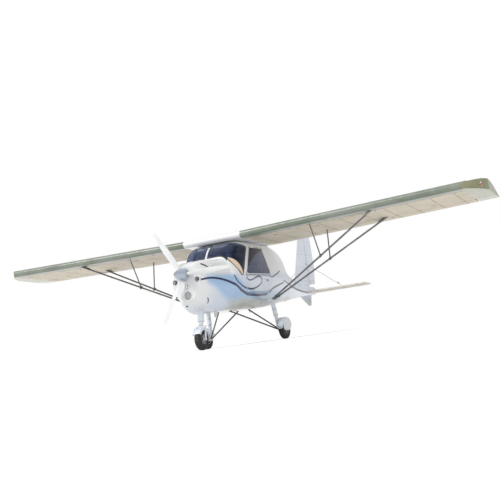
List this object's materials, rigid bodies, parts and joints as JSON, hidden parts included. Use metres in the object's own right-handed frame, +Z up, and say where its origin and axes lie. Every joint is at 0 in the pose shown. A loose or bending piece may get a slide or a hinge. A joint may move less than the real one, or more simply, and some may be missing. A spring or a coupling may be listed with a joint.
{
  "type": "ultralight aircraft",
  "caption": "High-wing, strut-braced light aircraft with a bubble cabin, a nose propeller, tricycle gear and spats, a fabric-covered wing and a low tailplane.",
  "frame": {"origin": "on the ground under the middle of the aircraft's bounding box, in its plane of symmetry", "axes": "+X along the span towards the aircraft's left wing tip, -Y towards the nose, +Z up"},
  "size_m": [9.4548, 6.2, 2.257],
  "materials": {
    "wing_fabric": "doped sailcloth",
    "dark_metal": "painted",
    "leg_paint": "gloss paint",
    "body_gloss": "glossy moulding",
    "cabin_plastic": "grained",
    "glazing": "clear polycarbonate",
    "dark_tube": "painted",
    "tail_fabric": "doped sailcloth",
    "engine_metal": "cast",
    "bare_metal": "brushed",
    "strut_metal": "anodised",
    "lamp_glass": "clear",
    "propeller_blade": "painted composite",
    "wheel_metal": "cast",
    "seat_cloth": "woven cloth",
    "tyre": "moulded rubber",
    "tip_moulding": "glossy moulding"
  },
  "bodies": {
    "airframe": {"antenna": "dark_metal", "cabin_frame": "leg_paint", "cabin_shell": "body_gloss", "controls": "cabin_plastic", "cowl_lower": "body_gloss", "cowl_upper": "body_gloss", "drag_tube_front_left": "dark_tube", "drag_tube_front_right": "dark_tube", "drag_tube_rear_left": "dark_tube", "drag_tube_rear_right": "dark_tube", "engine_block": "engine_metal", "exhaust_pipe": "dark_metal", "fin": "tail_fabric", "firewall": "bare_metal", "gear_cross_tube": "dark_metal", "instrument_panel": "cabin_plastic", "jury_struts_left": "strut_metal", "jury_struts_right": "strut_metal", "main_leg_left": "leg_paint", "main_leg_right": "leg_paint", "nose_lamp": "lamp_glass", "nose_leg": "leg_paint", "pitot_tube": "dark_metal", "roof_fairing": "body_gloss", "seats": "seat_cloth", "spat_left": "body_gloss", "spat_right": "body_gloss", "stabilizer": "tail_fabric", "strut_front_left": "strut_metal", "strut_front_right": "strut_metal", "strut_rear_left": "strut_metal", "strut_rear_right": "strut_metal", "tail_cone": "body_gloss", "tail_stays": "dark_metal", "ventral_fin": "body_gloss", "windscreen": "glazing", "wing_left": "wing_fabric", "wing_right": "wing_fabric", "wing_tip_left": "tip_moulding", "wing_tip_right": "tip_moulding"},
    "propeller": {"propeller": "propeller_blade", "spinner": "body_gloss"},
    "wheel_left": {"rim_main_left": "wheel_metal", "tyre_main_left": "tyre"},
    "wheel_right": {"rim_main_right": "wheel_metal", "tyre_main_right": "tyre"},
    "nose_fork": {"nose_fork": "leg_paint", "nose_mudguard": "body_gloss"},
    "nose_wheel": {"rim_nose": "wheel_metal", "tyre_nose": "tyre"},
    "rudder": {"rudder": "tail_fabric"},
    "elevator": {"elevator": "tail_fabric"},
    "aileron_left": {"aileron_left": "wing_fabric"},
    "aileron_right": {"aileron_right": "wing_fabric"},
    "flap_left": {"flap_left": "wing_fabric"},
    "flap_right": {"flap_right": "wing_fabric"},
    "door_left": {"door_left": "body_gloss", "door_glass_left": "glazing"},
    "door_right": {"door_right": "body_gloss", "door_glass_right": "glazing"}
  },
  "joints": [
    {"name": "propeller_spin", "type": "hinge", "parent": "airframe", "child": "propeller", "pos_m": [0, -2.832, 1.25], "axis": [0, 1, 0], "continuous": true},
    {"name": "wheel_left_spin", "type": "hinge", "parent": "airframe", "child": "wheel_left", "pos_m": [0.79, -0.844, 0.178], "axis": [1, 0, 0], "continuous": true},
    {"name": "wheel_right_spin", "type": "hinge", "parent": "airframe", "child": "wheel_right", "pos_m": [-0.79, -0.844, 0.178], "axis": [1, 0, 0], "continuous": true},
    {"name": "nose_steer", "type": "hinge", "parent": "airframe", "child": "nose_fork", "pos_m": [0, -2.463, 0.178], "axis": [0, 0.1936, 0.9811], "range_deg": [-25, 25]},
    {"name": "nose_wheel_spin", "type": "hinge", "parent": "nose_fork", "child": "nose_wheel", "pos_m": [0, -2.463, 0.178], "axis": [1, 0, 0], "continuous": true},
    {"name": "rudder_turn", "type": "hinge", "parent": "airframe", "child": "rudder", "pos_m": [0, 2.69, 1.085], "axis": [0, 0, 1], "range_deg": [-25, 25]},
    {"name": "elevator_turn", "type": "hinge", "parent": "airframe", "child": "elevator", "pos_m": [0, 2.77, 0.912], "axis": [1, 0, 0], "range_deg": [-20, 25]},
    {"name": "aileron_left_turn", "type": "hinge", "parent": "airframe", "child": "aileron_left", "pos_m": [2.99947, -0.58439, 1.85055], "axis": [0.9998, 0, 0.0209], "range_deg": [-20, 20]},
    {"name": "aileron_right_turn", "type": "hinge", "parent": "airframe", "child": "aileron_right", "pos_m": [-2.99947, -0.58439, 1.85055], "axis": [0.9998, 0, -0.0209], "range_deg": [-20, 20]},
    {"name": "flap_left_turn", "type": "hinge", "parent": "airframe", "child": "flap_left", "pos_m": [0.59947, -0.58439, 1.80028], "axis": [-0.9998, 0, -0.0209], "range_deg": [0, 38]},
    {"name": "flap_right_turn", "type": "hinge", "parent": "airframe", "child": "flap_right", "pos_m": [-0.59947, -0.58439, 1.80028], "axis": [-0.9998, 0, 0.0209], "range_deg": [0, 38]},
    {"name": "door_left_swing", "type": "hinge", "parent": "airframe", "child": "door_left", "pos_m": [0.53603, -1.1, 1.686], "axis": [0, -1, 0], "range_deg": [0, 72]},
    {"name": "door_right_swing", "type": "hinge", "parent": "airframe", "child": "door_right", "pos_m": [-0.53603, -1.1, 1.686], "axis": [0, 1, 0], "range_deg": [0, 72]}
  ],
  "couplings": [
    {"joint": "nose_steer", "follows": "rudder_turn", "ratio": -1},
    {"joint": "aileron_right_turn", "follows": "aileron_left_turn", "ratio": -1},
    {"joint": "flap_right_turn", "follows": "flap_left_turn", "ratio": 1}
  ]
}
